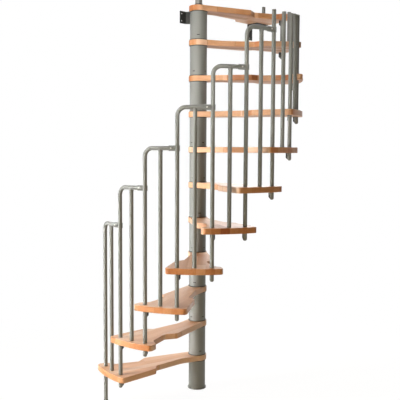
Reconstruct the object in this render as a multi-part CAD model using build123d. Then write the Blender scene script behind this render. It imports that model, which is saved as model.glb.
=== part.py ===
from build123d import *
import math
import os

# Space-saving spiral stair: alternating beech treads threaded on a steel column,
# with bent tube handrails, infill balusters and brackets for the upper landing.
# Millimetres and degrees, +Z up, origin on the column axis at floor level.

# Flight: the top step is a little lower, set to the upper floor
tread_count = 11
rise = 225.0
top_rise = 213.0
turn_angle = 18.0
first_post_angle = 161.43
fit = 0.3
overrun = 4.0

# Treads
tread_thickness = 34.0
tread_reach = 660.0
tread_eye_radius = 61.0
tread_eye_blend = 45.0
rear_corner_radius = 24.0
front_corner_radius = 24.0
tread_edge_round = 3.0

# Plan of an odd tread as shares of its reach: x runs out from the column,
# y runs towards the next tread up, and the third share is the corner's radius
rear_edge_shares = [
    (0.000, -0.087, 0.010),
    (0.509, -0.165, 0.018),
    (0.609, -0.098, 0.026),
    (0.830, -0.152, 0.030),
    (0.879, -0.229, 0.022),
    (1.045, -0.268, 0.010),
]
front_edge_shares = [
    (1.045, 0.265, 0.010),
    (0.583, 0.183, 0.018),
    (0.532, 0.109, 0.026),
    (0.227, 0.061, 0.250),
    (0.000, 0.087, 0.010),
]

# Column
sleeve_radius = 54.0
sleeve_wall = 2.5
pole_radius = 22.5
pole_wall = 3.0
pole_rise = 85.0
collar_radius = 24.5
collar_height = 14.0
ring_radius = 57.0
ring_flange = 4.5
ring_skirt_wall = 3.0
ring_skirt_height = 38.0
ring_lip_height = 10.0
slot_length = 18.0
slot_height = 5.0
slot_lift = 29.0
slots_round = 4
slot_facing = 226.0
slot_turn_shares = [-0.04, 0.27, 0.50, 0.80, 0.60, 0.15, 0.57, 0.43, 0.70, 0.63, -0.02]

# Floor plate
plate_radius = 60.0
plate_rim = 8.0
plate_edge_round = 2.0
plate_boss_height = 22.0
anchor_circle_radius = 34.0
anchor_hole_radius = 4.5
anchor_count = 4

# Posts, balusters and handrails: the straight ones' tops climb ever faster towards the landing
post_inset = 37.5
tube_radius = 12.0
tube_wall = 2.0
post_drop = 36.0
rail_height = 890.0
rail_count = 6
bend_radius = 48.0
straight_top_drop = 110.0
straight_top_gain = 9.2
landing_post_rise = 87.0
landing_foot_height = 20.0
landing_foot_taper = 1.5

# Rail clamps and baluster saddles
clamp_wall = 2.8
clamp_height = 30.0
socket_wall = 3.2
socket_depth = 30.0
socket_stop = 3.0
clamp_edge_round = 1.2
saddle_wall = 1.2
saddle_foot = 7.0
saddle_ear = 7.0

# Tube end plugs
plug_dome = 9.0
plug_lip = 1.5
plug_depth = 12.0
floor_foot_height = 14.0
floor_foot_flare = 3.0

# Post stops under the treads
stop_depth = 7.5
stop_width = 14.0
stop_height = 36.0
stop_toe = 28.0
rear_stop_angle = 45.0

# Landing brackets: both flanges lie in the vertical face of the upper floor's edge
landing_offset = 62.0
bracket_plate = 5.0
bracket_flange = 48.0
bracket_bolt_radius = 4.5
pole_bracket_height = 76.0
pole_bracket_angle = 134.0
pole_bracket_bolt_gap = 44.0
pole_bracket_bolt_inset = 14.0
landing_bracket_height = 106.0
landing_bracket_setback = 69.0
landing_bracket_margin = 22.0
landing_bracket_bolt_gap = 60.0
landing_bracket_bolt_inset = 14.0

post_circle = tread_reach - post_inset


def post_angle(k):
    """Turn of long post k about the column: posts stand between neighbouring treads."""
    return first_post_angle + (k - 1) * turn_angle


def tread_angle(n):
    """Turn of tread n's middle line about the column."""
    return post_angle(n) + turn_angle / 2


def tread_top(n):
    return n * rise if n < tread_count else (n - 1) * rise + top_rise


def tread_bottom(n):
    return tread_top(n) - tread_thickness


def around(radius, angle, z):
    """Point at a radius and turn about the column axis."""
    return Vector(radius * math.cos(math.radians(angle)), radius * math.sin(math.radians(angle)), z)


def rod(radius, low, high):
    """Solid round bar between two points."""
    axis = high - low
    return Plane(low, z_dir=axis) * Cylinder(radius, axis.length, align=(Align.CENTER, Align.CENTER, Align.MIN))


def tube(radius, wall, low, high):
    """Hollow round tube between two points."""
    axis = high - low
    section = Circle(radius) - Circle(radius - wall)
    return extrude(Plane(low, z_dir=axis) * section, axis.length)


def slab(low, high):
    """Rectangular plate between two opposite corners."""
    size = Vector(*high) - Vector(*low)
    return Pos(*low) * Box(size.X, size.Y, size.Z, align=(Align.MIN, Align.MIN, Align.MIN))


def turned(points):
    """Solid of revolution about Z from (radius, height) corners."""
    return revolve(make_face(Plane.XZ * Polyline(*points, close=True)), Axis.Z)


def save(shape, node):
    export_step(shape, f"parts/{node}.step")


def save_all(shapes, node):
    """Like pieces that don't touch share one node."""
    save(Compound([shape.solid() for shape in shapes]), node)


# Treads


def tread_plan():
    """Odd tread: a paddle whose inner half sits back and whose outer half steps forward."""
    shares = rear_edge_shares + front_edge_shares
    corners = [(x * tread_reach, y * tread_reach) for x, y, _ in shares]
    radii = [r * tread_reach for _, _, r in shares]
    blade = make_face(FilletPolyline(*corners, radius=radii, close=True))
    blade = blade & Circle(tread_reach)
    for side, radius in ((-1, rear_corner_radius), (1, front_corner_radius)):
        ends = [v for v in blade.vertices() if math.isclose(Vector(*v).length, tread_reach, abs_tol=fit)]
        blade = fillet([v for v in ends if v.Y * side > tread_eye_radius], radius)
    return blade + Circle(tread_eye_radius)


def tread_blank():
    """Board with rounded edges, bored for the column pole and for the two posts."""
    board = extrude(tread_plan(), tread_thickness)
    uprights = board.edges().filter_by(Axis.Z)
    throats = [e for e in uprights if math.isclose(math.hypot(e.center().X, e.center().Y), tread_eye_radius)]
    board = fillet(throats, tread_eye_blend)
    rims = board.edges().filter_by(lambda e: math.isclose(e.center().Z, e.start_point().Z, abs_tol=fit))
    board = fillet(rims, tread_edge_round)
    top = tread_thickness + overrun
    bores = [rod(pole_radius + fit, Vector(0, 0, -overrun), Vector(0, 0, top))]
    for side in (-turn_angle / 2, turn_angle / 2):
        bores.append(rod(tube_radius + fit, around(post_circle, side, -overrun), around(post_circle, side, top)))
    return board - bores


os.makedirs("parts", exist_ok=True)

odd_tread = tread_blank()
even_tread = mirror(odd_tread, about=Plane.XZ)
for n in range(1, tread_count + 1):
    blank = odd_tread if n % 2 else even_tread
    save(Pos(0, 0, tread_bottom(n)) * Rot(0, 0, tread_angle(n)) * blank, f"tread_{n:02d}")


# Column: floor plate, pole, and a sleeve between two seat rings at every level

skirt_radius = sleeve_radius - sleeve_wall - fit


def floor_plate():
    """Bolted base disc with a skirt for the first sleeve and a boss inside the pole."""
    boss_radius = pole_radius - pole_wall - fit
    skirt_top = plate_rim + ring_skirt_height
    plate = turned([
        (0, 0),
        (plate_radius, 0),
        (plate_radius, plate_rim),
        (skirt_radius, plate_rim),
        (skirt_radius, skirt_top),
        (skirt_radius - ring_skirt_wall, skirt_top),
        (skirt_radius - ring_skirt_wall, plate_rim),
        (boss_radius, plate_rim),
        (boss_radius, plate_boss_height),
        (0, plate_boss_height),
    ])
    rim = plate.edges().filter_by(GeomType.CIRCLE).filter_by(lambda e: math.isclose(e.radius, plate_radius))
    plate = fillet(rim.sort_by(Axis.Z)[-1], plate_edge_round)
    for i in range(anchor_count):
        spot = around(anchor_circle_radius, i * 360 / anchor_count, -overrun)
        plate -= rod(anchor_hole_radius, spot, spot + Vector(0, 0, plate_rim + 2 * overrun))
    return plate


def seat_ring(skirt_height):
    """Flanged centring ring: the flange lies on a tread and the skirt stands in a sleeve."""
    return turned([
        (pole_radius + fit, 0),
        (ring_radius, 0),
        (ring_radius, ring_flange),
        (skirt_radius, ring_flange),
        (skirt_radius, skirt_height),
        (skirt_radius - ring_skirt_wall, skirt_height),
        (skirt_radius - ring_skirt_wall, ring_flange),
        (pole_radius + fit, ring_flange),
    ])


def sleeve(low, high, slot_turn):
    """Painted spacer tube with a row of catch slots near its foot."""
    body = tube(sleeve_radius, sleeve_wall, Vector(0, 0, low), Vector(0, 0, high))
    for i in range(slots_round):
        facing = slot_turn + i * 360 / slots_round
        outwards = around(1, facing, 0)
        level = Plane((0, 0, low + slot_lift - ring_flange), x_dir=around(1, facing + 90, 0), z_dir=outwards)
        body -= extrude(level * SlotOverall(slot_length, slot_height), sleeve_radius + overrun)
    return body


save(floor_plate(), "floor_plate")
long_ring = seat_ring(ring_skirt_height)
short_ring = Rot(180, 0, 0) * seat_ring(ring_lip_height)
rings = []
for n in range(1, tread_count + 1):
    foot = tread_top(n - 1)
    low = foot + (ring_flange if n > 1 else plate_rim)
    if n > 1:
        rings.append(Pos(0, 0, foot) * long_ring)
    rings.append(Pos(0, 0, tread_bottom(n)) * short_ring)
    slot_turn = slot_facing + slot_turn_shares[n - 1] * 360 / slots_round
    save(sleeve(low, tread_bottom(n) - ring_flange, slot_turn), f"column_sleeve_{n:02d}")
save_all(rings, "seat_rings")

pole_top = tread_top(tread_count) + pole_rise
pole_foot = Vector(0, 0, plate_rim)
save(tube(pole_radius, pole_wall, pole_foot, Vector(0, 0, pole_top)), "centre_pole")
collar_low = Vector(0, 0, tread_top(tread_count))
collar = tube(collar_radius, collar_radius - pole_radius - fit, collar_low, collar_low + Vector(0, 0, collar_height))
save(collar, "pole_collar")
cap = Pos(0, 0, pole_top) * turned([
    (0, -plug_depth),
    (pole_radius - pole_wall - fit, -plug_depth),
    (pole_radius - pole_wall - fit, 0),
    (pole_radius, 0),
    (pole_radius - plug_lip, plug_lip),
    (0, plug_lip),
])
save(cap, "pole_cap")


# Posts, handrails and balusters


def post_foot(k):
    """Lower end of long post k: the first stands on the floor, the rest hang below tread k - 1."""
    return floor_foot_height if k == 1 else tread_bottom(k - 1) - post_drop


def straight_end(step):
    """Top of an upper straight post or baluster, counted in treads from the first of them."""
    return tread_top(tread_count) - straight_top_drop + straight_top_gain * step**2


def rail_path(k):
    """Riser, elbow, level run on the post circle and a short straight tail into the clamp."""
    level = tread_top(k) + rail_height
    elbow_turn = math.degrees(2 * math.asin(bend_radius / (2 * post_circle)))
    tail_turn = math.degrees((tube_radius + clamp_wall + socket_stop + socket_depth) / post_circle)
    riser = Line(around(post_circle, post_angle(k), post_foot(k)), around(post_circle, post_angle(k), level - bend_radius))
    elbow = TangentArc(riser @ 1, around(post_circle, post_angle(k) + elbow_turn, level), tangent=(0, 0, 1))
    run = TangentArc(elbow @ 1, around(post_circle, post_angle(k + 1) - tail_turn, level), tangent=elbow % 1)
    tail = Line(run @ 1, run @ 1 + (run % 1) * socket_depth)
    return riser, elbow, run, tail


def swept(path, radius, wall=None):
    """Round bar, or a tube where a wall is given, carried along a path of joined lines and arcs."""
    section = Circle(radius) if wall is None else Circle(radius) - Circle(radius - wall)
    return sweep(Plane(path[0] @ 0, z_dir=path[0] % 0) * section, Wire([edge.edge() for edge in path]))


def rail_clamp(k, tail):
    """Ring round the next post with a socket for the tail of handrail k."""
    level = tread_top(k) + rail_height
    half = Vector(0, 0, clamp_height / 2)
    centre = around(post_circle, post_angle(k + 1), level)
    along = (tail % 1).normalized()
    ring = rod(tube_radius + clamp_wall, centre - half, centre + half)
    ring = fillet(ring.edges().filter_by(GeomType.CIRCLE), clamp_edge_round)
    socket = rod(tube_radius + socket_wall, tail @ 0, tail @ 1 + along * (socket_stop + clamp_wall))
    body = ring + socket
    body -= rod(tube_radius + fit, tail @ 0 - along * overrun, tail @ 1 + along * fit)
    return body - rod(tube_radius + fit, centre - half - Vector(0, 0, overrun), centre + half + Vector(0, 0, overrun))


def saddle(k, path):
    """Plug on a baluster's top whose ears hold the handrail above it."""
    level = tread_top(k) + rail_height
    foot = around(post_circle, tread_angle(k), level - tube_radius - saddle_foot)
    body = rod(tube_radius + saddle_wall, foot, foot + Vector(0, 0, saddle_foot + saddle_ear))
    return body - swept(path[1:3], tube_radius + fit)


lower_balusters = []
saddles = []
clamps = []
for k in range(1, rail_count + 1):
    path = rail_path(k)
    save(swept(path, tube_radius, tube_wall), f"handrail_{k:02d}")
    clamps.append(rail_clamp(k, path[3]))
    saddles.append(saddle(k, path))
    head = tread_top(k) + rail_height - tube_radius - saddle_foot
    stand = around(post_circle, tread_angle(k), tread_top(k))
    lower_balusters.append(tube(tube_radius, tube_wall, stand, Vector(stand.X, stand.Y, head)))
save_all(lower_balusters, "lower_balusters")
save_all(clamps, "rail_clamps")
save_all(saddles, "baluster_saddles")

upper_balusters = []
tops = []
for k in range(rail_count + 1, tread_count + 1):
    end = straight_end(k - rail_count - 1) if k < tread_count else tread_top(tread_count)
    head = around(post_circle, post_angle(k), end)
    save(tube(tube_radius, tube_wall, around(post_circle, post_angle(k), post_foot(k)), head), f"post_{k:02d}")
    tops.append(head)
    if k < tread_count:
        head = around(post_circle, tread_angle(k), straight_end(k - rail_count - 0.5))
        upper_balusters.append(tube(tube_radius, tube_wall, Vector(head.X, head.Y, tread_top(k)), head))
        tops.append(head)
save_all(upper_balusters, "upper_balusters")

landing_spot = post_angle(tread_count + 1)
landing_low = around(post_circle, landing_spot, tread_bottom(tread_count) - bracket_plate)
landing_high = around(post_circle, landing_spot, tread_top(tread_count) + landing_post_rise)
save(tube(tube_radius, tube_wall, landing_low, landing_high), "landing_post")


# Plugs that close the tubes


def plug(radius, wall, dome):
    """Tube plug: a shank inside the tube and a rounded or flat head, pointing up."""
    shank = radius - wall - fit
    profile = Plane.XZ * Polyline((radius, 0), (shank, 0), (shank, -plug_depth), (0, -plug_depth), (0, dome))
    crown = Plane.XZ * ThreePointArc((0, dome), (radius * math.sqrt(0.5), dome * math.sqrt(0.5)), (radius, 0))
    return revolve(make_face(profile + crown), Axis.Z)


round_plug = Rot(180, 0, 0) * plug(tube_radius, tube_wall, plug_dome)
flat_plug = plug(tube_radius, tube_wall, plug_lip)
feet = [around(post_circle, post_angle(k), post_foot(k)) for k in range(2, tread_count + 1)]
plugs = [Pos(*spot) * round_plug for spot in feet] + [Pos(*spot) * flat_plug for spot in tops[:-1]]
plugs.append(Pos(*landing_high) * flat_plug)
flush_plug = rod(tube_radius - tube_wall - fit, Vector(0, 0, -plug_depth), Vector(0, 0, 0))
plugs.append(Pos(*tops[-1]) * flush_plug)
save_all(plugs, "tube_plugs")

floor_foot = turned([
    (0, 0),
    (tube_radius + floor_foot_flare, 0),
    (tube_radius, floor_foot_height),
    (tube_radius - tube_wall - fit, floor_foot_height),
    (tube_radius - tube_wall - fit, floor_foot_height + plug_depth),
    (0, floor_foot_height + plug_depth),
])
save(Pos(*around(post_circle, post_angle(1), 0)) * floor_foot, "post_floor_foot")

landing_foot = turned([
    (0, -landing_foot_height),
    (tube_radius - landing_foot_taper, -landing_foot_height),
    (tube_radius, 0),
    (tube_radius - tube_wall - fit, 0),
    (tube_radius - tube_wall - fit, plug_depth),
    (0, plug_depth),
])
save(Pos(*landing_low) * landing_foot, "landing_post_foot")


# Black stops that lock each post under its treads


def post_stop(k, n, swing):
    """Wedge under tread n beside post k, turned from the column's side of the post."""
    inner = tube_radius + fit
    corners = [(inner, 0), (inner + stop_depth, 0), (inner + stop_depth, -stop_toe), (inner, -stop_height)]
    wedge = extrude(Plane.XZ * make_face(Polyline(*corners, close=True)), stop_width / 2, both=True)
    facing = post_angle(k) + 180 + swing
    return Pos(*around(post_circle, post_angle(k), tread_bottom(n))) * Rot(0, 0, facing) * wedge


stops = []
for n in range(1, tread_count + 1):
    stops.append(post_stop(n, n, -rear_stop_angle))
    if n < tread_count:
        stops.append(post_stop(n + 1, n, 0))
save_all(stops, "post_stops")


# Brackets to the upper floor, whose edge is a vertical face along X


def pole_bracket():
    """Bent bracket on the top sleeve: an arm straight out to the floor's edge and a drilled flange."""
    high = tread_bottom(tread_count)
    low = high - pole_bracket_height
    reach = (landing_offset - bracket_plate / 2) / math.sin(math.radians(pole_bracket_angle))
    bend = reach * math.cos(math.radians(pole_bracket_angle))
    arm = Rot(0, 0, pole_bracket_angle) * slab((0, -bracket_plate / 2, low), (reach, bracket_plate / 2, high))
    arm -= rod(sleeve_radius + fit, Vector(0, 0, low - overrun), Vector(0, 0, high + overrun))
    arm -= rod(ring_radius + fit, Vector(0, 0, high - ring_flange - fit), Vector(0, 0, high + overrun))
    flange = slab((bend - bracket_flange, landing_offset - bracket_plate, low), (bend, landing_offset, high))
    bolts = bolt_pair(bend - bracket_flange + pole_bracket_bolt_inset, (low + high) / 2, pole_bracket_bolt_gap)
    return arm + flange - bolts


def landing_bracket():
    """Angle bracket under the top tread: a drilled flange and a foot held by the landing post."""
    high = tread_bottom(tread_count)
    low = high - landing_bracket_height
    spot = around(post_circle, landing_spot, high)
    centre = spot.X - landing_bracket_setback
    left = centre - bracket_flange / 2
    right = centre + bracket_flange / 2
    flange = slab((left, landing_offset - bracket_plate, low), (right, landing_offset, high))
    foot_low = (left, spot.Y - landing_bracket_margin, high - bracket_plate)
    foot = slab(foot_low, (spot.X + landing_bracket_margin, landing_offset, high))
    drop = Vector(0, 0, bracket_plate + overrun)
    foot -= rod(tube_radius + fit, spot - drop, spot + drop)
    middle = low + landing_bracket_bolt_inset + landing_bracket_bolt_gap / 2
    return flange + foot - bolt_pair(centre, middle, landing_bracket_bolt_gap)


def bolt_pair(x, middle, gap):
    """Two bolt holes, one above the other, through a bracket's flange."""
    near = landing_offset - bracket_plate - overrun
    far = landing_offset + overrun
    heights = (middle - gap / 2, middle + gap / 2)
    return [rod(bracket_bolt_radius, Vector(x, near, z), Vector(x, far, z)) for z in heights]


save(pole_bracket(), "pole_bracket")
save(landing_bracket(), "landing_bracket")
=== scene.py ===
# %% [markdown]
# # A space-saving spiral stair
#
# The stair climbs round a steel column: paddle-shaped beech treads, silver-grey sleeves between
# them, and tube handrails on the outside. The imported CAD model already holds every board, tube and
# bracket in its true place, in metres. This lesson keeps those solids as they are and gives them
# their finishes, their small screws, the light and the camera.

# %% Load the imported stair
import math

import bpy
import numpy as np
from mathutils import Matrix


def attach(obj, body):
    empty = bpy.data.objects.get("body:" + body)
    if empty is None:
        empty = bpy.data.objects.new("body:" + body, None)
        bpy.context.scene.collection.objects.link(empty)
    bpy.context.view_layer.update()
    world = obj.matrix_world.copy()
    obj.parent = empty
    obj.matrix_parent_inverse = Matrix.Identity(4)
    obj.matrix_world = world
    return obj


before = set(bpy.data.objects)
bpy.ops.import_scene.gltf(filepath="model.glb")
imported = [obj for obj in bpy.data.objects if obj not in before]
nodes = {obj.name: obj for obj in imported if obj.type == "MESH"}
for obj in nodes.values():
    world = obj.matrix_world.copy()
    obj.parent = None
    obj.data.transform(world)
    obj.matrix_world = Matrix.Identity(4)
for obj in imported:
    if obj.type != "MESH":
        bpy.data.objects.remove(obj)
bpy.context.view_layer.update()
scene = bpy.context.scene
scene.view_settings.view_transform = "Standard"


# %% [markdown]
# ## The sizes that the finishes follow
#
# Wood grain has to run along each tread, and each tread is turned a little further round the column
# than the one below. So the stair's own layout is repeated here: the turn from tread to tread, the
# rise, and the circle on which the posts stand. Posts stand between neighbouring treads, so a
# tread's middle line lies half a turn past its post.

# %% The stair's layout, in metres and radians
TREAD_COUNT = 11
RISE = 0.225
TOP_RISE = 0.213
TURN = math.radians(18.0)
FIRST_POST = math.radians(161.43)
POST_CIRCLE = 0.6225
RAIL_COUNT = 6
RAIL_HEIGHT = 0.890


def post_angle(k):
    """Turn of post k about the column."""
    return FIRST_POST + (k - 1) * TURN


def tread_angle(n):
    """Turn of tread n's middle line about the column."""
    return post_angle(n) + TURN / 2


def tread_top(n):
    """Height of tread n's walking face; the top step is a little lower."""
    return n * RISE if n < TREAD_COUNT else (n - 1) * RISE + TOP_RISE


middle_lines = [math.degrees(tread_angle(n)) % 360 for n in range(1, TREAD_COUNT + 1)]
print("tread middle lines, degrees:", [round(turn) for turn in middle_lines])

# %% [markdown]
# ## The camera
#
# The view is level with the sixth step and looks slightly down. A camera could be aimed by hand,
# but the posts and the column fix it much better: their places in the picture give the standpoint,
# the aim and the lens. Blender wants a matrix whose columns are the picture's right, its up and the
# direction back to the eye, so those three are worked out from the heading, the downward tilt and a
# very small roll.

# %% Set up the camera
EYE = np.array([-3.00297, -3.10966, 1.55031])
HEADING = math.radians(-44.0) - 0.003412
TILT = 0.072926
ROLL = 0.005261
LENS = 60.373
SENSOR = 36.0
FARTHEST_SEEN = 100.0


def placing(right, up, back, origin):
    """A matrix with three axes and a place as its columns."""
    matrix = np.eye(4)
    matrix[:3] = np.stack([right, up, back, origin], axis=1)
    return Matrix(matrix.tolist())


level_right = np.array([math.cos(HEADING), math.sin(HEADING), 0.0])
level_ahead = np.array([-math.sin(HEADING), math.cos(HEADING), 0.0])
upright = np.array([0.0, 0.0, 1.0])
ahead = math.cos(TILT) * level_ahead - math.sin(TILT) * upright
tilted_up = math.sin(TILT) * level_ahead + math.cos(TILT) * upright
picture_right = math.cos(ROLL) * level_right + math.sin(ROLL) * tilted_up
picture_up = math.cos(ROLL) * tilted_up - math.sin(ROLL) * level_right

lens = bpy.data.cameras.new("stair_camera")
lens.sensor_fit = "HORIZONTAL"
lens.sensor_width = SENSOR
lens.lens = LENS
lens.clip_end = FARTHEST_SEEN
camera = bpy.data.objects.new("stair_camera", lens)
scene.collection.objects.link(camera)
camera.matrix_world = placing(picture_right, picture_up, -ahead, EYE)
scene.camera = camera
print("camera at", EYE.tolist(), "lens", LENS)

# %% [markdown]
# ## Writing shaders as sums
#
# Node graphs are easier to read as expressions. `Signal` wraps one output socket; adding,
# multiplying or comparing two of them adds a Math node. Every other kind of node comes from one
# method, `node`, which takes the node's type, its settings and what goes into its sockets. The
# short methods after it only save writing for the nodes that every finish needs.

# %% A socket that can be used in sums
class Signal:
    """One output socket of a shader graph."""

    def __init__(self, tree, socket=None):
        self.tree = tree
        self.socket = socket

    def node(self, kind, settings=None, inputs=None, out=0):
        """Adds a node of a type, sets it up, feeds its sockets and returns one of its outputs."""
        made = self.tree.nodes.new(kind)
        for name, value in (settings or {}).items():
            if name == "stops":
                ramp = made.color_ramp
                while len(ramp.elements) < len(value):
                    ramp.elements.new(1.0)
                for element, (place, colour) in zip(ramp.elements, value):
                    element.position = place
                    element.color = (*colour, 1.0)
            else:
                setattr(made, name, value)
        for name, value in (inputs or {}).items():
            if isinstance(value, Signal):
                self.tree.links.new(value.socket, made.inputs[name])
            else:
                made.inputs[name].default_value = value
        return Signal(self.tree, made.outputs[out])

    def out(self, name):
        """Another output of the node that this signal comes from."""
        return Signal(self.tree, self.socket.node.outputs[name])

    def math(self, operation, *others):
        """A Math node on this signal and others."""
        values = dict(enumerate((self, *others)))
        return self.node("ShaderNodeMath", {"operation": operation}, values)

    def __add__(self, other):
        return self.math("ADD", other)

    def __sub__(self, other):
        return self.math("SUBTRACT", other)

    def __mul__(self, other):
        return self.math("MULTIPLY", other)

    def __truediv__(self, other):
        return self.math("DIVIDE", other)

    def __rsub__(self, other):
        return self.node("ShaderNodeMath", {"operation": "SUBTRACT"}, {0: other, 1: self})

    __radd__ = __add__
    __rmul__ = __mul__

    def floor(self):
        return self.math("FLOOR")

    def fraction(self):
        return self.math("FRACT")

    def size(self):
        return self.math("ABSOLUTE")

    def larger(self, other):
        return self.math("MAXIMUM", other)

    def between(self, low, high):
        """0 below low, 1 above high and a smooth climb in between."""
        settings = {"interpolation_type": "SMOOTHSTEP"}
        inputs = {"Value": self, "From Min": low, "From Max": high}
        return self.node("ShaderNodeMapRange", settings, inputs)

    def vector(self, operation, *others, out="Vector"):
        """A Vector Math node on this signal and others."""
        values = dict(enumerate((self, *others)))
        return self.node("ShaderNodeVectorMath", {"operation": operation}, values, out)

    def noise(self, scale, detail, **more):
        """Cloudy noise at this place."""
        inputs = {"Vector": self, "Scale": scale, "Detail": detail, **more}
        return self.node("ShaderNodeTexNoise", None, inputs)

    def dice(self, dimensions):
        """One random number for this place."""
        settings = {"noise_dimensions": dimensions}
        return self.node("ShaderNodeTexWhiteNoise", settings, {"Vector": self})

    def bump(self, strength, distance):
        """A normal tilted by this height."""
        inputs = {"Strength": strength, "Distance": distance, "Height": self}
        return self.node("ShaderNodeBump", None, inputs)


# %% Helpers for colours, places and materials
WHITE = (1.0, 1.0, 1.0, 1.0)


def colours(amount, first, second, way="MIX"):
    """Mixes two colours by an amount from 0 to 1."""
    settings = {"data_type": "RGBA", "blend_type": way}
    return amount.node("ShaderNodeMix", settings, {0: amount, 6: first, 7: second}, out=2)


def joined(x, y=0.0, z=0.0):
    """A place put together from three numbers, of which x is a signal."""
    return x.node("ShaderNodeCombineXYZ", None, {"X": x, "Y": y, "Z": z})


def parted(vector):
    """A vector's x; its y and z are other outputs of the same node."""
    return vector.node("ShaderNodeSeparateXYZ", None, {0: vector}, out="X")


def new_material(name):
    """An empty material with its Principled shader, and a signal to start the graph from."""
    made = bpy.data.materials.new(name)
    made.use_nodes = True
    shader = made.node_tree.nodes["Principled BSDF"]
    return made, shader, Signal(made.node_tree)


def object_place(start):
    """The place on a piece, in the stair's own coordinates."""
    return start.node("ShaderNodeTexCoord", out="Object")


def feed(shader, **inputs):
    """Links signals to the shader's sockets and sets plain numbers; _ stands for a space."""
    for name, value in inputs.items():
        socket = shader.inputs[name.replace("_", " ")]
        if isinstance(value, Signal):
            value.tree.links.new(value.socket, socket)
        else:
            socket.default_value = value


def finish_with(node_name, material):
    """Gives a CAD node one finish over its whole surface."""
    slots = nodes[node_name].data.materials
    slots.clear()
    slots.append(material)


print("shader helpers ready")

# %% [markdown]
# ## Light and stage
#
# The stair stands in front of plain white, lit from its left, so every face turned left is pale and
# every face turned right is deep. One big softbox could do that, but narrow beams show the round
# tubes better. The key lamp stands far out on the left at half height, a wide soft lamp above it
# lights the tops of the low treads, and a low lamp reaches the foot of the column. A fourth lamp
# reaches the upper treads from beside the camera. A faint warm lamp low in front and a dim warm sky
# stand for light that the boards throw back. A lamp behind and one overhead keep the far side and
# the upper treads' tops readable. All are discs, which gives the posts soft-edged shadows on the
# column.

# %% Lamps
DAYLIGHT = (1.0, 0.985, 0.96)
WARM = (1.0, 0.80, 0.42)
OPEN_BEAM = 179.0


def disc_lamp(name, side, raised, distance, size, level, aim, spread=OPEN_BEAM, colour=DAYLIGHT):
    """A disc lamp aimed at the column at a height; level 1 shows white paint as white.

    side is degrees left of the camera, raised is degrees up and spread is its beam's width."""
    side, raised, half = math.radians(side), math.radians(raised), math.radians(spread) / 2
    level_way = -math.sin(side) * level_right - math.cos(side) * level_ahead
    towards = math.cos(raised) * level_way + math.sin(raised) * upright
    sideways = np.cross(upright, towards) / math.cos(raised)
    origin = aim * upright + distance * towards
    lamp = bpy.data.lights.new(name, "AREA")
    lamp.shape = "DISK"
    lamp.size = size
    lamp.spread = 2 * half
    lamp.energy = level * math.pi ** 2 * distance ** 2 * (1.0 - half / math.tan(half))
    lamp.color = colour
    placed = bpy.data.objects.new(name, lamp)
    scene.collection.objects.link(placed)
    placed.matrix_world = placing(sideways, np.cross(towards, sideways), towards, origin)
    placed.visible_camera = False
    print(name, round(lamp.energy), "W at", [round(float(v), 2) for v in origin])


disc_lamp("key_lamp", 73.0, 0.0, 4.8, 0.55, 1.17, aim=1.1, spread=43.0)
disc_lamp("soft_lamp", 66.0, 32.0, 6.0, 2.0, 1.36, aim=0.3, spread=40.0)
disc_lamp("low_lamp", 72.0, 2.0, 4.0, 0.8, 0.68, aim=0.12, spread=24.0)
disc_lamp("upper_lamp", 13.0, -5.0, 4.0, 0.8, 1.24, aim=2.35, spread=29.0)
disc_lamp("front_lamp", 8.0, -10.0, 5.0, 1.6, 0.26, aim=1.2, colour=WARM)
disc_lamp("back_lamp", 195.0, 22.0, 5.0, 2.4, 0.30, aim=1.2)
disc_lamp("top_lamp", 180.0, 72.0, 5.0, 2.4, 0.24, aim=1.2)

# %% [markdown]
# ## Backdrop and floor
#
# Camera rays see the sky as plain white, and so do mirror rays that run on behind the stair, where
# the backdrop hangs. All other rays find only the dim warm glow, so the white adds no light to the
# stair. The floor is a pale disc that keeps a faint shadow near the stair and melts into the white
# further out.

# %% Dim sky with a white backdrop
SKY_GLOW = 0.11
BACKDROP_EDGE = (-0.3, 0.4)

world = bpy.data.worlds.new("soft_left_light")
scene.world = world
world.use_nodes = True
world.node_tree.nodes.clear()
sky = Signal(world.node_tree)
direction = sky.node("ShaderNodeTexCoord", out="Generated")
behind = direction.vector("DOT_PRODUCT", tuple(level_ahead), out="Value").between(*BACKDROP_EDGE)
camera_ray = sky.node("ShaderNodeLightPath", out="Is Camera Ray")
mirrored = camera_ray.out("Is Glossy Ray").larger(camera_ray.out("Is Transmission Ray"))
plain_white = camera_ray.larger(mirrored * behind)
glow = (*[SKY_GLOW * share for share in WARM], 1.0)
shown = colours(plain_white, glow, WHITE)
backdrop = sky.node("ShaderNodeBackground", None, {"Color": shown, "Strength": 1.0})
end = world.node_tree.nodes.new("ShaderNodeOutputWorld")
world.node_tree.links.new(backdrop.socket, end.inputs["Surface"])
print("sky glows at", SKY_GLOW)

# %% Pale floor
FLOOR_RADIUS = 30.0
FLOOR_RIM = 96
FLOOR_DROP = 0.0005
FLOOR_BEIGE = (0.66, 0.60, 0.50, 1.0)
NEAR_WHITE = (1.055, 1.055, 1.055, 1.0)
SHADOW_FADE = (0.9, 2.4)
SHADOW_SHARE = 0.08

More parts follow.
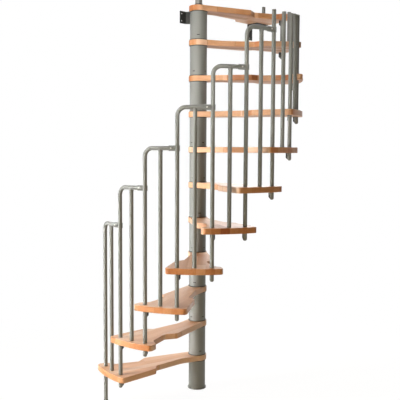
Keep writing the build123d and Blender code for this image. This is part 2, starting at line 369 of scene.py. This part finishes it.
rim = np.linspace(0.0, 2 * math.pi, FLOOR_RIM, endpoint=False)
corners = [FLOOR_RADIUS * np.cos(rim), FLOOR_RADIUS * np.sin(rim), np.full(FLOOR_RIM, -FLOOR_DROP)]
disc = bpy.data.meshes.new("pale_floor")
disc.from_pydata(np.stack(corners, 1).tolist(), [], [np.arange(FLOOR_RIM).tolist()])
floor = bpy.data.objects.new("pale_floor", disc)
scene.collection.objects.link(floor)
floor_paint, floor_shader, ground = new_material("floor_paint")
feed(floor_shader, Base_Color=FLOOR_BEIGE, Roughness=0.9, Specular_IOR_Level=0.0)
seen = ground.node("ShaderNodeLightPath", out="Is Camera Ray")
seen = seen.larger(seen.out("Is Glossy Ray")).larger(seen.out("Is Transmission Ray"))
fade = object_place(ground).vector("LENGTH", out="Value").between(*SHADOW_FADE)
white = colours(fade, NEAR_WHITE, WHITE)
bright = ground.node("ShaderNodeEmission", None, {"Color": white, "Strength": 1.0})
lit = Signal(floor_paint.node_tree, floor_shader.outputs[0])
wash = seen * ((1.0 - SHADOW_SHARE) + SHADOW_SHARE * fade)
washed = ground.node("ShaderNodeMixShader", None, {0: wash, 1: lit, 2: bright})
floor_end = floor_paint.node_tree.nodes["Material Output"]
floor_paint.node_tree.links.new(washed.socket, floor_end.inputs["Surface"])
disc.materials.append(floor_paint)
print("floor disc of", FLOOR_RADIUS, "m")

# %% [markdown]
# ## Beech treads
#
# The treads are glued up from narrow beech staves that run out from the column. Each stave is
# itself made of short lengths joined end to end by cut fingers, so its colour jumps from one length
# to the next. A wood photograph could be wrapped round the boards, but then every tread would match.
# Here the board's own coordinates are counted off instead: across the board gives the stave, along
# it gives the length within the stave, and the two together pick a tone.

# %% Staves, counted off on one tread
STAVE_WIDTH = 0.052
STAVE_LENGTH = 0.40
STAVE_STAGGER = 7.0
FIRST_STAVE = 0.31
STAVE_SHIFT = 0.37
FINGER_PITCH = 0.008
FINGER_DEPTH = 0.006
GLUE_LINE = 0.0007


def board_axes(start, n):
    """Place on tread n and the way its faces look: x runs out from the column, y across."""
    place = object_place(start)
    turn_back = (0.0, 0.0, -tread_angle(n))
    lower = (0.0, 0.0, -tread_top(n))
    inputs = {"Vector": place, "Rotation": turn_back, "Location": lower}
    board = start.node("ShaderNodeMapping", {"vector_type": "POINT"}, inputs)
    inputs = {"Vector": place.out("Normal"), "Rotation": turn_back}
    facing = start.node("ShaderNodeMapping", {"vector_type": "VECTOR"}, inputs)
    return parted(board), parted(facing)


def near_joint(count, spacing):
    """1 on the glue lines between whole counts."""
    return (count.fraction() - 0.5).size().between(0.5 - GLUE_LINE / spacing, 0.5)


def staves(x, y, n):
    """Number of the stave, a random tone for each length in it, and a mask of the glue lines."""
    across = y / STAVE_WIDTH + (FIRST_STAVE + STAVE_SHIFT * n)
    stave = across.floor()
    stagger = joined(stave, float(n)).dice("2D")
    fingers = ((y / FINGER_PITCH).fraction() - 0.5).size() * (2 * FINGER_DEPTH)
    along = (x + fingers) / STAVE_LENGTH + stagger * STAVE_STAGGER
    tone = joined(stave, along.floor(), float(n)).dice("3D")
    return stave, tone, near_joint(across, STAVE_WIDTH).larger(near_joint(along, STAVE_LENGTH))


print("staves", STAVE_WIDTH, "m wide in lengths of", STAVE_LENGTH, "m")

# %% [markdown]
# ## Grain, tone, varnish and painted shade
#
# Fine stretched noise adds the grain and the short dark flecks that mark beech. No two boards are
# alike, so every tread also has a mean tone of its own; the darker of these tones are partly painted
# shade, set on treads whose faces stand turned away from the lamps. The outer faces cut the staves
# across, and end grain soaks up more varnish, so faces that look along the board are tinted deeper;
# that tint is deeper than end grain alone would give, and the rest is painted shade. The undersides
# carry only a thin coat of lacquer.

# %% Beech for every tread
BEECH_TONES = [
    (0.00, (0.42, 0.160, 0.053)),
    (0.25, (0.57, 0.278, 0.125)),
    (0.55, (0.69, 0.400, 0.238)),
    (0.80, (0.74, 0.485, 0.335)),
    (1.00, (0.76, 0.540, 0.405)),
]
# Each board's mean tone: partly real difference between boards, partly painted shade in the darker
# values.
BOARD_TONES_AND_PAINTED_SHADE = [0.66, 0.64, 0.64, 0.48, 0.33, 0.62, 0.58, 0.66, 0.34, 0.48, 0.46]
USUAL_TONE = 0.64
LENGTH_SHARE = 0.62
STREAK_SHARE = 0.32
BAND_SHARE = 0.34
FLECK_BROWN = (0.33, 0.150, 0.055, 1.0)
FLECK_SHARE = 0.48
FLECK_EDGE = (0.60, 0.72)
GLUE_BROWN = (0.28, 0.125, 0.045, 1.0)
GLUE_SHARE = 0.45
# Tint for end faces: real end grain, deepened further as painted shade.
END_GRAIN_AND_PAINTED_SHADE = (0.80, 0.58, 0.38, 1.0)
END_FACES = (0.35, 0.85)
LOWER_FACES = (-0.6, -0.2)
THIN_LACQUER = 0.08
MORE_LACQUER = 0.37


def beech(n):
    """Staved beech for tread n."""
    made, shader, start = new_material(f"beech_{n:02d}")
    x, facing = board_axes(start, n)
    y, z = x.out("Y"), x.out("Z")
    stave, tone, joints = staves(x, y, n)

    def grain(along, across, detail, jump=0.0, slide=0.0):
        """Noise stretched along the board, which jumps at each length and slides at each stave."""
        place = joined(x * along + tone * jump, y * across + stave * slide, z * across)
        return place.noise(1.0, detail)

    streaks = grain(along=5.0, across=150.0, detail=4.0, jump=9.0, slide=3.7)
    flecks = grain(along=170.0, across=1500.0, detail=1.0).between(*FLECK_EDGE)
    bands = grain(along=1.6, across=34.0, detail=2.0, jump=5.0, slide=1.9)

    shade = tone * LENGTH_SHARE + streaks * STREAK_SHARE + bands * BAND_SHARE
    # The board's mean tone, whose darker values are partly painted shade.
    shade = shade + (BOARD_TONES_AND_PAINTED_SHADE[n - 1] - USUAL_TONE)
    wood = start.node("ShaderNodeValToRGB", {"stops": BEECH_TONES}, {0: shade})
    wood = colours(flecks * FLECK_SHARE, wood, FLECK_BROWN)
    wood = colours(joints * GLUE_SHARE, wood, GLUE_BROWN)
    # End faces tinted deeper: end grain, and painted shade on top of it.
    wood = colours(facing.size().between(*END_FACES), wood, END_GRAIN_AND_PAINTED_SHADE, "MULTIPLY")
    relief = streaks * 0.5 - flecks * 0.5 - joints * 1.2
    lacquer = THIN_LACQUER + MORE_LACQUER * facing.out("Z").between(*LOWER_FACES)
    feed(shader, Base_Color=wood, Roughness=0.36 + 0.16 * streaks + 0.1 * flecks,
         Normal=relief.bump(0.25, 0.0004), Specular_IOR_Level=0.2,
         Coat_Weight=lacquer, Coat_Roughness=0.50)
    return made


for n in range(1, TREAD_COUNT + 1):
    finish_with(f"tread_{n:02d}", beech(n))
print("beech on", TREAD_COUNT, "treads")

# %% [markdown]
# ## Silver-grey paint
#
# Sleeves, posts, handrails and balusters are steel tube under a satin silver-grey coat. Real paint
# of this kind is not one grey: tiny flakes make it sparkle, spraying leaves a skin like fine orange
# peel, and handling leaves slightly duller patches. Three noises at three scales do that. Inside the
# sleeves the colour turns near-black. That is painted shade, so that the tube's hollow and the catch
# slots show as holes. The cast clamps take the same paint, a little darker and coarser, because
# their surface is sand-cast. Plugs, saddles and the pole's cap are grey plastic of nearly the same
# colour.

# %% Sprayed paint
# Near-black colour for the painted shade inside the sleeves.
INSIDE_SHADE_BLACK = (0.012, 0.012, 0.011, 1.0)
INSIDE_SHADE_EDGE = 0.0006
PATCH_SCALE = 9.0


def sprayed(name, dark, light, flake_scale, peel_scale, peel_depth, roughness, shaded_inside_from=0.0):
    """Satin paint: flakes between two greys, slow dull patches and a fine orange-peel skin.

    Nearer to the column's axis than the given inside radius, the colour turns near-black: painted
    shade inside the tube."""
    made, shader, start = new_material(name)
    place = object_place(start)
    flakes = place.noise(flake_scale, 2.0)
    patches = place.noise(PATCH_SCALE, 3.0)
    peel = place.noise(peel_scale, 2.0)
    paint = colours(flakes.between(0.25, 0.75) * 0.6 + patches * 0.15 + 0.1, dark, light)
    # Painted shade: inside the sleeve the colour turns near-black, where the tube's hollow lies in
    # shade.
    if shaded_inside_from:
        from_axis = place.vector("MULTIPLY", (1.0, 1.0, 0.0)).vector("LENGTH", out="Value")
        out_of_shade = from_axis.between(shaded_inside_from - INSIDE_SHADE_EDGE, shaded_inside_from)
        paint = colours(out_of_shade, INSIDE_SHADE_BLACK, paint)
    feed(shader, Base_Color=paint, Roughness=roughness + 0.06 * patches,
         Normal=peel.bump(0.03, peel_depth), Specular_IOR_Level=0.90)
    return made


SLEEVE_INSIDE = 0.0534
SILVER = {
    "dark": (0.149, 0.157, 0.152, 1.0), "light": (0.208, 0.220, 0.214, 1.0),
    "flake_scale": 900.0, "peel_scale": 700.0, "peel_depth": 0.0004, "roughness": 0.53,
}
CAST_SILVER = {
    "dark": (0.134, 0.141, 0.135, 1.0), "light": (0.188, 0.198, 0.191, 1.0),
    "flake_scale": 500.0, "peel_scale": 260.0, "peel_depth": 0.0009, "roughness": 0.50,
}
GREY_PLASTIC = {
    "dark": (0.139, 0.147, 0.142, 1.0), "light": (0.188, 0.198, 0.193, 1.0),
    "flake_scale": 700.0, "peel_scale": 600.0, "peel_depth": 0.0003, "roughness": 0.58,
}
silver = sprayed("silver_paint", **SILVER)
# The sleeves' paint carries painted shade on its inside.
sleeve_silver_shaded_inside = sprayed("sleeve_paint_shaded_inside", **SILVER, shaded_inside_from=SLEEVE_INSIDE)
cast_silver = sprayed("cast_silver", **CAST_SILVER)
grey_plastic = sprayed("grey_plastic", **GREY_PLASTIC)
print("four silver-grey finishes")

# %% Silver pieces
silver_nodes = [name for name in nodes if name.startswith(("handrail", "post_0", "post_1"))]
silver_nodes += ["landing_post", "lower_balusters", "upper_balusters", "centre_pole", "floor_plate"]
sleeve_nodes = [name for name in nodes if name.startswith("column_sleeve")]
for name in sleeve_nodes:
    finish_with(name, sleeve_silver_shaded_inside)
for name in silver_nodes:
    finish_with(name, silver)
finish_with("rail_clamps", cast_silver)
for name in ("tube_plugs", "pole_cap", "baluster_saddles"):
    finish_with(name, grey_plastic)
print("silver paint on", len(silver_nodes) + len(sleeve_nodes), "nodes")

# %% [markdown]
# ## Black and dark pieces
#
# The brackets are powder-coated black, which is matt with a fine grit. The stops, feet and seat
# rings are moulded plastic: smoother, slightly glossier, and scuffed here and there. The pole's
# collar is steel under dark grey paint. One recipe with different numbers covers all three.

# %% Black powder coat, black plastic and dark steel
SCUFF_SCALE = 60.0
SCUFF_EDGE = (0.52, 0.72)


def dark_coat(name, dark, light, grit_scale, grit_depth, low_rough, high_rough):
    """Near-black coat with grit in its skin and paler, rougher scuffs."""
    made, shader, start = new_material(name)
    place = object_place(start)
    grit = place.noise(grit_scale, 3.0)
    scuffs = place.noise(SCUFF_SCALE, 5.0, Roughness=0.7).between(*SCUFF_EDGE)
    feed(shader, Base_Color=colours(scuffs * 0.6 + grit * 0.3, dark, light),
         Roughness=low_rough + (high_rough - low_rough) * scuffs,
         Normal=grit.bump(0.35, grit_depth), Specular_IOR_Level=0.35)
    return made


black_steel = dark_coat(
    "black_powder_coat", dark=(0.012, 0.013, 0.012, 1.0), light=(0.030, 0.032, 0.030, 1.0),
    grit_scale=900.0, grit_depth=0.0006, low_rough=0.50, high_rough=0.65)
black_plastic = dark_coat(
    "black_plastic", dark=(0.010, 0.010, 0.010, 1.0), light=(0.026, 0.026, 0.025, 1.0),
    grit_scale=500.0, grit_depth=0.0003, low_rough=0.36, high_rough=0.55)
dark_steel = dark_coat(
    "dark_grey_paint", dark=(0.050, 0.050, 0.046, 1.0), light=(0.085, 0.085, 0.080, 1.0),
    grit_scale=600.0, grit_depth=0.0004, low_rough=0.40, high_rough=0.60)
dark_pieces = {
    "pole_bracket": black_steel, "landing_bracket": black_steel,
    "post_stops": black_plastic, "seat_rings": black_plastic,
    "post_floor_foot": black_plastic, "landing_post_foot": black_plastic,
    "pole_collar": dark_steel,
}
for name, material in dark_pieces.items():
    finish_with(name, material)
print("dark finishes on", len(dark_pieces), "nodes")

# %% [markdown]
# ## Clamp screws
#
# A socket screw locks every handrail's end in its clamp. The head is a short drum with a rounded
# rim and a six-sided recess. Seen as a surface, it is a profile carried round an axis: the outer
# rows of the profile are circles, and the rows inside the recess are hexagons, so one formula makes
# the whole head.

# %% The screw head's surface
SCREW_RADIUS = 0.0042
SCREW_HEIGHT = 0.0034
SCREW_SUNK = 0.0016
SCREW_ROUND = 0.0008
SCREW_SIDES = 48
KEY_ACROSS = 0.0042
KEY_DEPTH = 0.0024
KEY_LIP = 0.0002
KEY_BEVEL = 0.0005


def socket_head():
    """Rows carried round z: r(a) = radius * (1 + share * (hexagon(a) - 1)), each at its height."""
    turn = np.linspace(0.0, math.pi / 2, 5)
    rim_radius = SCREW_RADIUS - SCREW_ROUND + SCREW_ROUND * np.cos(turn)
    rim_height = SCREW_HEIGHT - SCREW_ROUND + SCREW_ROUND * np.sin(turn)
    key, bottom = KEY_ACROSS / 2, SCREW_HEIGHT - KEY_DEPTH
    profile = np.array([
        (SCREW_RADIUS, -SCREW_SUNK, 0.0),
        *zip(rim_radius, rim_height, np.zeros(len(turn))),
        (key * 1.18, SCREW_HEIGHT, 0.0),
        (key * 1.06, SCREW_HEIGHT - KEY_LIP, 1.0),
        (key, SCREW_HEIGHT - KEY_BEVEL, 1.0),
        (key, bottom, 1.0),
        (key * 0.5, bottom, 0.5),
    ])
    radius, height, share = profile.T[:, :, None]
    angle = np.arange(SCREW_SIDES) * 2 * math.pi / SCREW_SIDES
    hexagon = 1.0 / np.cos((angle % (math.pi / 3)) - math.pi / 6)
    reach = radius * (1.0 + share * (hexagon - 1.0))
    return np.stack([reach * np.cos(angle), reach * np.sin(angle), height + 0.0 * angle], -1)


head = socket_head()
rows, columns = head.shape[:2]
print("screw head of", rows, "rows and", columns, "sides")

# %% Faces and pieces
SHARP_EDGE = math.radians(35.0)


def ring_faces(rows, columns, start):
    """Quads between neighbouring rows of a grid that closes round its columns."""
    row, column = np.meshgrid(np.arange(rows - 1), np.arange(columns), indexing="ij")
    here, above = row * columns, (row + 1) * columns
    after = (column + 1) % columns
    corners = [here + column, here + after, above + after, above + column]
    return (np.stack(corners, -1).reshape(-1, 4) + start).tolist()


def make_piece(name, points, faces, material):
    """A mesh object at the origin that rides on the stair, smooth but for its sharp edges."""
    mesh = bpy.data.meshes.new(name)
    mesh.from_pydata(points.tolist(), [], faces)
    mesh.materials.append(material)
    mesh.polygons.foreach_set("use_smooth", np.ones(len(mesh.polygons), dtype=bool))
    mesh.set_sharp_from_angle(angle=SHARP_EDGE)
    piece = bpy.data.objects.new(name, mesh)
    scene.collection.objects.link(piece)
    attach(piece, "root")
    return piece


print("sharp edges from", round(math.degrees(SHARP_EDGE)), "degrees")

# %% A screw in every clamp
TUBE_RADIUS = 0.012
CLAMP_WALL = 0.0028
CLAMP_NECK = 0.003
SOCKET_RADIUS = 0.0152
SOCKET_DEPTH = 0.030
TAIL_TURN = (TUBE_RADIUS + CLAMP_WALL + CLAMP_NECK + SOCKET_DEPTH) / POST_CIRCLE

points, faces = [], []
for k in range(1, RAIL_COUNT + 1):
    turn = post_angle(k + 1) - TAIL_TURN
    outwards = np.array([math.cos(turn), math.sin(turn), 0.0])
    tangent = np.array([-math.sin(turn), math.cos(turn), 0.0])
    seat = (POST_CIRCLE + SOCKET_RADIUS) * outwards + SOCKET_DEPTH / 2 * tangent
    seat = seat + (tread_top(k) + RAIL_HEIGHT) * upright
    start = len(points) * rows * columns
    points.append(head.reshape(-1, 3) @ np.stack([tangent, upright, outwards]) + seat)
    faces += ring_faces(rows, columns, start)
    faces.append((start + (rows - 1) * columns + np.arange(columns)).tolist())
screw_steel, screw_shader, plain = new_material("screw_steel")
brushed = object_place(plain).noise(1400.0, 3.0)
steel = colours(brushed, (0.55, 0.55, 0.53, 1.0), (0.78, 0.78, 0.76, 1.0))
feed(screw_shader, Base_Color=steel, Metallic=1.0, Roughness=0.22 + 0.2 * brushed)
make_piece("clamp_screws", np.concatenate(points), faces, screw_steel)
print("clamp screws:", RAIL_COUNT, "heads of", rows * columns, "points")
